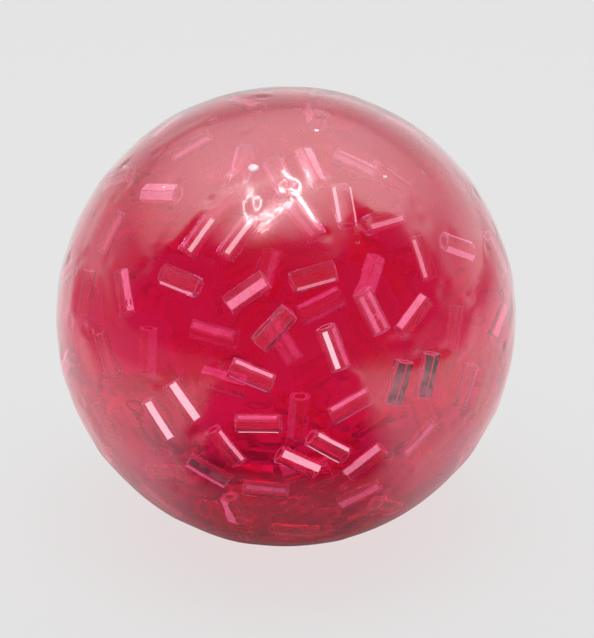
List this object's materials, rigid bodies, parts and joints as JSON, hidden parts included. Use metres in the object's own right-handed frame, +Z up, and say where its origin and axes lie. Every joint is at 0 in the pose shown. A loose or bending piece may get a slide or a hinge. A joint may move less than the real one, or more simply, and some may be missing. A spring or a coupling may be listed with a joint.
{
  "type": "squishy ball",
  "caption": "Clear elastic squeeze ball, filled with pink-red gel that carries short cut tube beads, with a plugged fill port and a flat resting patch.",
  "frame": {"origin": "middle of the flat patch on which the ball rests", "axes": "+Z up through the middle of the ball, -Y towards the front, +X to the right as seen from the front"},
  "size_m": [0.07, 0.07, 0.0688],
  "materials": {
    "clear_skin": "gloss, clear",
    "plug": "satin, translucent",
    "glue": "gloss, clear",
    "gel": "clear, tinted",
    "bead": "gloss, clear, tinted"
  },
  "bodies": {
    "shell": {"skin": "clear_skin", "plug": "plug", "glue_ring": "glue"},
    "filling": {"gel": "gel"},
    "bead_01": {"bead_01": "bead"},
    "bead_02": {"bead_02": "bead"},
    "bead_03": {"bead_03": "bead"},
    "bead_04": {"bead_04": "bead"},
    "bead_05": {"bead_05": "bead"},
    "bead_06": {"bead_06": "bead"},
    "bead_07": {"bead_07": "bead"},
    "bead_08": {"bead_08": "bead"},
    "bead_09": {"bead_09": "bead"},
    "bead_10": {"bead_10": "bead"},
    "bead_11": {"bead_11": "bead"},
    "bead_12": {"bead_12": "bead"},
    "bead_13": {"bead_13": "bead"},
    "bead_14": {"bead_14": "bead"},
    "bead_15": {"bead_15": "bead"},
    "bead_16": {"bead_16": "bead"},
    "bead_17": {"bead_17": "bead"},
    "bead_18": {"bead_18": "bead"},
    "bead_19": {"bead_19": "bead"},
    "bead_20": {"bead_20": "bead"},
    "bead_21": {"bead_21": "bead"},
    "bead_22": {"bead_22": "bead"},
    "bead_23": {"bead_23": "bead"},
    "bead_24": {"bead_24": "bead"},
    "bead_25": {"bead_25": "bead"},
    "bead_26": {"bead_26": "bead"},
    "bead_27": {"bead_27": "bead"},
    "bead_28": {"bead_28": "bead"},
    "bead_29": {"bead_29": "bead"},
    "bead_30": {"bead_30": "bead"},
    "bead_31": {"bead_31": "bead"},
    "bead_32": {"bead_32": "bead"},
    "bead_33": {"bead_33": "bead"},
    "bead_34": {"bead_34": "bead"},
    "bead_35": {"bead_35": "bead"},
    "bead_36": {"bead_36": "bead"},
    "bead_37": {"bead_37": "bead"},
    "bead_38": {"bead_38": "bead"},
    "bead_39": {"bead_39": "bead"},
    "bead_40": {"bead_40": "bead"},
    "bead_band_01": {"bead_band_01": "bead"},
    "bead_band_02": {"bead_band_02": "bead"},
    "bead_band_03": {"bead_band_03": "bead"},
    "bead_band_04": {"bead_band_04": "bead"},
    "bead_band_05": {"bead_band_05": "bead"},
    "bead_band_06": {"bead_band_06": "bead"},
    "bead_band_07": {"bead_band_07": "bead"},
    "bead_band_08": {"bead_band_08": "bead"},
    "bead_band_09": {"bead_band_09": "bead"},
    "bead_band_10": {"bead_band_10": "bead"},
    "bead_band_11": {"bead_band_11": "bead"},
    "bead_band_12": {"bead_band_12": "bead"}
  },
  "joints": [
    {"name": "squeeze", "type": "slide", "parent": "shell", "child": "filling", "axis": [0, 0, -1], "range_m": [0, 0.01], "stiffness_N_per_m": 8000, "springref_m": -0.0003, "deforming": ["skin", "gel"]},
    {"name": "bead_01_sink", "type": "slide", "parent": "shell", "child": "bead_01", "axis": [0, 0, -1], "range_m": [0, 0.01785]},
    {"name": "bead_02_sink", "type": "slide", "parent": "shell", "child": "bead_02", "axis": [0, 0, -1], "range_m": [0, 0.01797]},
    {"name": "bead_03_sink", "type": "slide", "parent": "shell", "child": "bead_03", "axis": [0, 0, -1], "range_m": [0, 0.0178]},
    {"name": "bead_04_sink", "type": "slide", "parent": "shell", "child": "bead_04", "axis": [0, 0, -1], "range_m": [0, 0.01797]},
    {"name": "bead_05_sink", "type": "slide", "parent": "shell", "child": "bead_05", "axis": [0, 0, -1], "range_m": [0, 0.01782]},
    {"name": "bead_06_sink", "type": "slide", "parent": "shell", "child": "bead_06", "axis": [0, 0, -1], "range_m": [0, 0.01478]},
    {"name": "bead_07_sink", "type": "slide", "parent": "shell", "child": "bead_07", "axis": [0, 0, -1], "range_m": [0, 0.01596]},
    {"name": "bead_08_sink", "type": "slide", "parent": "shell", "child": "bead_08", "axis": [0, 0, -1], "range_m": [0, 0.01607]},
    {"name": "bead_09_sink", "type": "slide", "parent": "shell", "child": "bead_09", "axis": [0, 0, -1], "range_m": [0, 0.01667]},
    {"name": "bead_10_sink", "type": "slide", "parent": "shell", "child": "bead_10", "axis": [0, 0, -1], "range_m": [0, 0.01692]},
    {"name": "bead_11_sink", "type": "slide", "parent": "shell", "child": "bead_11", "axis": [0, 0, -1], "range_m": [0, 0.01628]},
    {"name": "bead_12_sink", "type": "slide", "parent": "shell", "child": "bead_12", "axis": [0, 0, -1], "range_m": [0, 0.01477]},
    {"name": "bead_13_sink", "type": "slide", "parent": "shell", "child": "bead_13", "axis": [0, 0, -1], "range_m": [0, 0.01451]},
    {"name": "bead_14_sink", "type": "slide", "parent": "shell", "child": "bead_14", "axis": [0, 0, -1], "range_m": [0, 0.0144]},
    {"name": "bead_15_sink", "type": "slide", "parent": "shell", "child": "bead_15", "axis": [0, 0, -1], "range_m": [0, 0.0133]},
    {"name": "bead_16_sink", "type": "slide", "parent": "shell", "child": "bead_16", "axis": [0, 0, -1], "range_m": [0, 0.01439]},
    {"name": "bead_17_sink", "type": "slide", "parent": "shell", "child": "bead_17", "axis": [0, 0, -1], "range_m": [0, 0.01319]},
    {"name": "bead_18_sink", "type": "slide", "parent": "shell", "child": "bead_18", "axis": [0, 0, -1], "range_m": [0, 0.01494]},
    {"name": "bead_19_sink", "type": "slide", "parent": "shell", "child": "bead_19", "axis": [0, 0, -1], "range_m": [0, 0.01063]},
    {"name": "bead_20_sink", "type": "slide", "parent": "shell", "child": "bead_20", "axis": [0, 0, -1], "range_m": [0, 0.01135]},
    {"name": "bead_21_sink", "type": "slide", "parent": "shell", "child": "bead_21", "axis": [0, 0, -1], "range_m": [0, 0.01238]},
    {"name": "bead_22_sink", "type": "slide", "parent": "shell", "child": "bead_22", "axis": [0, 0, -1], "range_m": [0, 0.01349]},
    {"name": "bead_23_sink", "type": "slide", "parent": "shell", "child": "bead_23", "axis": [0, 0, -1], "range_m": [0, 0.01298]},
    {"name": "bead_24_sink", "type": "slide", "parent": "shell", "child": "bead_24", "axis": [0, 0, -1], "range_m": [0, 0.01194]},
    {"name": "bead_25_sink", "type": "slide", "parent": "shell", "child": "bead_25", "axis": [0, 0, -1], "range_m": [0, 0.01058]},
    {"name": "bead_26_sink", "type": "slide", "parent": "shell", "child": "bead_26", "axis": [0, 0, -1], "range_m": [0, 0.01055]},
    {"name": "bead_27_sink", "type": "slide", "parent": "shell", "child": "bead_27", "axis": [0, 0, -1], "range_m": [0, 0.00879]},
    {"name": "bead_28_sink", "type": "slide", "parent": "shell", "child": "bead_28", "axis": [0, 0, -1], "range_m": [0, 0.00988]},
    {"name": "bead_29_sink", "type": "slide", "parent": "shell", "child": "bead_29", "axis": [0, 0, -1], "range_m": [0, 0.00935]},
    {"name": "bead_30_sink", "type": "slide", "parent": "shell", "child": "bead_30", "axis": [0, 0, -1], "range_m": [0, 0.00813]},
    {"name": "bead_31_sink", "type": "slide", "parent": "shell", "child": "bead_31", "axis": [0, 0, -1], "range_m": [0, 0.00677]},
    {"name": "bead_32_sink", "type": "slide", "parent": "shell", "child": "bead_32", "axis": [0, 0, -1], "range_m": [0, 0.00753]},
    {"name": "bead_33_sink", "type": "slide", "parent": "shell", "child": "bead_33", "axis": [0, 0, -1], "range_m": [0, 0.00822]},
    {"name": "bead_34_sink", "type": "slide", "parent": "shell", "child": "bead_34", "axis": [0, 0, -1], "range_m": [0, 0.00999]},
    {"name": "bead_35_sink", "type": "slide", "parent": "shell", "child": "bead_35", "axis": [0, 0, -1], "range_m": [0, 0.00768]},
    {"name": "bead_36_sink", "type": "slide", "parent": "shell", "child": "bead_36", "axis": [0, 0, -1], "range_m": [0, 0.0093]},
    {"name": "bead_37_sink", "type": "slide", "parent": "shell", "child": "bead_37", "axis": [0, 0, -1], "range_m": [0, 0.00723]},
    {"name": "bead_38_sink", "type": "slide", "parent": "shell", "child": "bead_38", "axis": [0, 0, -1], "range_m": [0, 0.00606]},
    {"name": "bead_39_sink", "type": "slide", "parent": "shell", "child": "bead_39", "axis": [0, 0, -1], "range_m": [0, 0.00545]},
    {"name": "bead_40_sink", "type": "slide", "parent": "shell", "child": "bead_40", "axis": [0, 0, -1], "range_m": [0, 0.0124]},
    {"name": "bead_band_01_sink", "type": "slide", "parent": "shell", "child": "bead_band_01", "axis": [0, 0, -1], "range_m": [0, 0.00206]},
    {"name": "bead_band_02_sink", "type": "slide", "parent": "shell", "child": "bead_band_02", "axis": [0, 0, -1], "range_m": [0, 0.00329]},
    {"name": "bead_band_03_sink", "type": "slide", "parent": "shell", "child": "bead_band_03", "axis": [0, 0, -1], "range_m": [0, 0.00466]},
    {"name": "bead_band_04_sink", "type": "slide", "parent": "shell", "child": "bead_band_04", "axis": [0, 0, -1], "range_m": [0, 0.00623]},
    {"name": "bead_band_05_sink", "type": "slide", "parent": "shell", "child": "bead_band_05", "axis": [0, 0, -1], "range_m": [0, 0.0077]},
    {"name": "bead_band_06_sink", "type": "slide", "parent": "shell", "child": "bead_band_06", "axis": [0, 0, -1], "range_m": [0, 0.00907]},
    {"name": "bead_band_07_sink", "type": "slide", "parent": "shell", "child": "bead_band_07", "axis": [0, 0, -1], "range_m": [0, 0.01054]},
    {"name": "bead_band_08_sink", "type": "slide", "parent": "shell", "child": "bead_band_08", "axis": [0, 0, -1], "range_m": [0, 0.01202]},
    {"name": "bead_band_09_sink", "type": "slide", "parent": "shell", "child": "bead_band_09", "axis": [0, 0, -1], "range_m": [0, 0.0135]},
    {"name": "bead_band_10_sink", "type": "slide", "parent": "shell", "child": "bead_band_10", "axis": [0, 0, -1], "range_m": [0, 0.01497]},
    {"name": "bead_band_11_sink", "type": "slide", "parent": "shell", "child": "bead_band_11", "axis": [0, 0, -1], "range_m": [0, 0.01643]},
    {"name": "bead_band_12_sink", "type": "slide", "parent": "shell", "child": "bead_band_12", "axis": [0, 0, -1], "range_m": [0, 0.01806]}
  ],
  "couplings": [
    {"joint": "bead_01_sink", "follows": "squeeze", "ratio": 1.7826},
    {"joint": "bead_02_sink", "follows": "squeeze", "ratio": 1.7946},
    {"joint": "bead_03_sink", "follows": "squeeze", "ratio": 1.7776},
    {"joint": "bead_04_sink", "follows": "squeeze", "ratio": 1.7951},
    {"joint": "bead_05_sink", "follows": "squeeze", "ratio": 1.7799},
    {"joint": "bead_06_sink", "follows": "squeeze", "ratio": 1.4762},
    {"joint": "bead_07_sink", "follows": "squeeze", "ratio": 1.5942},
    {"joint": "bead_08_sink", "follows": "squeeze", "ratio": 1.6047},
    {"joint": "bead_09_sink", "follows": "squeeze", "ratio": 1.665},
    {"joint": "bead_10_sink", "follows": "squeeze", "ratio": 1.6902},
    {"joint": "bead_11_sink", "follows": "squeeze", "ratio": 1.6263},
    {"joint": "bead_12_sink", "follows": "squeeze", "ratio": 1.4752},
    {"joint": "bead_13_sink", "follows": "squeeze", "ratio": 1.4486},
    {"joint": "bead_14_sink", "follows": "squeeze", "ratio": 1.4382},
    {"joint": "bead_15_sink", "follows": "squeeze", "ratio": 1.3279},
    {"joint": "bead_16_sink", "follows": "squeeze", "ratio": 1.4367},
    {"joint": "bead_17_sink", "follows": "squeeze", "ratio": 1.3166},
    {"joint": "bead_18_sink", "follows": "squeeze", "ratio": 1.4918},
    {"joint": "bead_19_sink", "follows": "squeeze", "ratio": 1.0607},
    {"joint": "bead_20_sink", "follows": "squeeze", "ratio": 1.1333},
    {"joint": "bead_21_sink", "follows": "squeeze", "ratio": 1.2356},
    {"joint": "bead_22_sink", "follows": "squeeze", "ratio": 1.3465},
    {"joint": "bead_23_sink", "follows": "squeeze", "ratio": 1.2955},
    {"joint": "bead_24_sink", "follows": "squeeze", "ratio": 1.1925},
    {"joint": "bead_25_sink", "follows": "squeeze", "ratio": 1.0556},
    {"joint": "bead_26_sink", "follows": "squeeze", "ratio": 1.0526},
    {"joint": "bead_27_sink", "follows": "squeeze", "ratio": 0.8769},
    {"joint": "bead_28_sink", "follows": "squeeze", "ratio": 0.9858},
    {"joint": "bead_29_sink", "follows": "squeeze", "ratio": 0.933},
    {"joint": "bead_30_sink", "follows": "squeeze", "ratio": 0.8112},
    {"joint": "bead_31_sink", "follows": "squeeze", "ratio": 0.6749},
    {"joint": "bead_32_sink", "follows": "squeeze", "ratio": 0.7513},
    {"joint": "bead_33_sink", "follows": "squeeze", "ratio": 0.8201},
    {"joint": "bead_34_sink", "follows": "squeeze", "ratio": 0.997},
    {"joint": "bead_35_sink", "follows": "squeeze", "ratio": 0.7661},
    {"joint": "bead_36_sink", "follows": "squeeze", "ratio": 0.9283},
    {"joint": "bead_37_sink", "follows": "squeeze", "ratio": 0.7205},
    {"joint": "bead_38_sink", "follows": "squeeze", "ratio": 0.6035},
    {"joint": "bead_39_sink", "follows": "squeeze", "ratio": 0.5426},
    {"joint": "bead_40_sink", "follows": "squeeze", "ratio": 1.2376},
    {"joint": "bead_band_01_sink", "follows": "squeeze", "ratio": 0.2036},
    {"joint": "bead_band_02_sink", "follows": "squeeze", "ratio": 0.3266},
    {"joint": "bead_band_03_sink", "follows": "squeeze", "ratio": 0.4643},
    {"joint": "bead_band_04_sink", "follows": "squeeze", "ratio": 0.6208},
    {"joint": "bead_band_05_sink", "follows": "squeeze", "ratio": 0.7676},
    {"joint": "bead_band_06_sink", "follows": "squeeze", "ratio": 0.905},
    {"joint": "bead_band_07_sink", "follows": "squeeze", "ratio": 1.0516},
    {"joint": "bead_band_08_sink", "follows": "squeeze", "ratio": 1.1996},
    {"joint": "bead_band_09_sink", "follows": "squeeze", "ratio": 1.348},
    {"joint": "bead_band_10_sink", "follows": "squeeze", "ratio": 1.4951},
    {"joint": "bead_band_11_sink", "follows": "squeeze", "ratio": 1.6411},
    {"joint": "bead_band_12_sink", "follows": "squeeze", "ratio": 1.8037}
  ]
}
